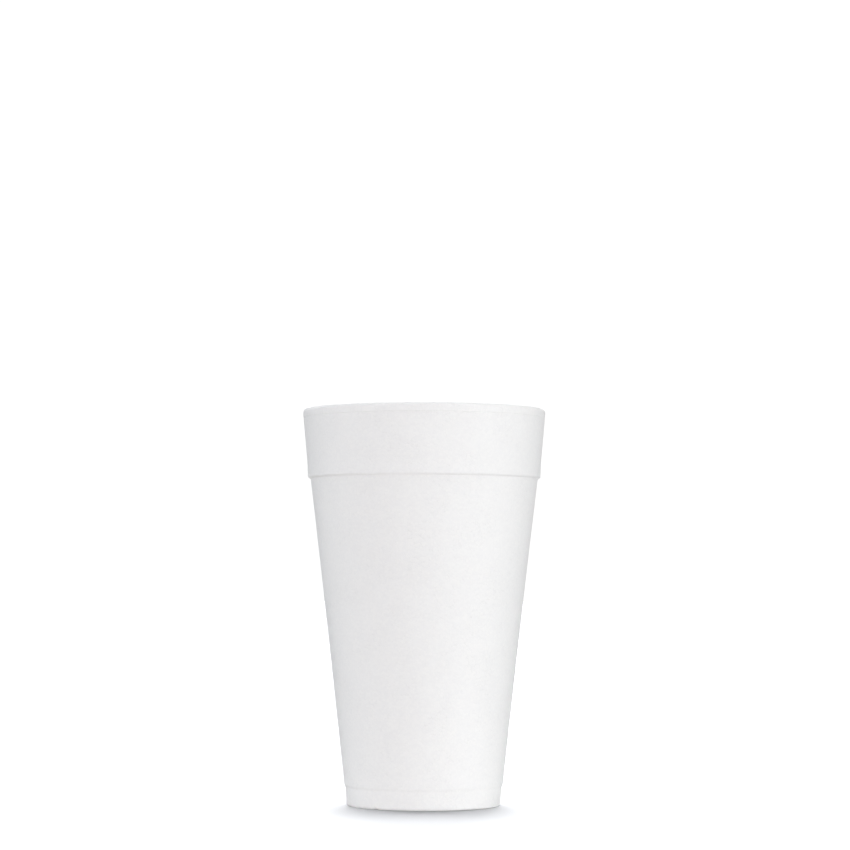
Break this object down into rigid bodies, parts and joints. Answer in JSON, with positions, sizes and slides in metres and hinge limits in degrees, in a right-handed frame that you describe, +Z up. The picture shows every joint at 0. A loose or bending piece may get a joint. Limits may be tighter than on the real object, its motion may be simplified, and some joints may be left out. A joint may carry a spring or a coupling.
{
  "type": "foam cup",
  "caption": "Plain white moulded-foam drink cup: tapered body on a short stepped foot, with a thicker collar and a rounded lip round the open mouth.",
  "frame": {"origin": "centre of the flat ring the cup stands on, at table level", "axes": "+Z up along the cup's axis of revolution, towards the open mouth; +X and +Y are across the cup and alike"},
  "size_m": [0.0936, 0.0936, 0.1521],
  "materials": {
    "foam": "white expanded bead foam, matte to soft satin, with the fused beads faintly visible"
  },
  "bodies": {
    "root": {"cup": "foam"}
  },
  "joints": []
}
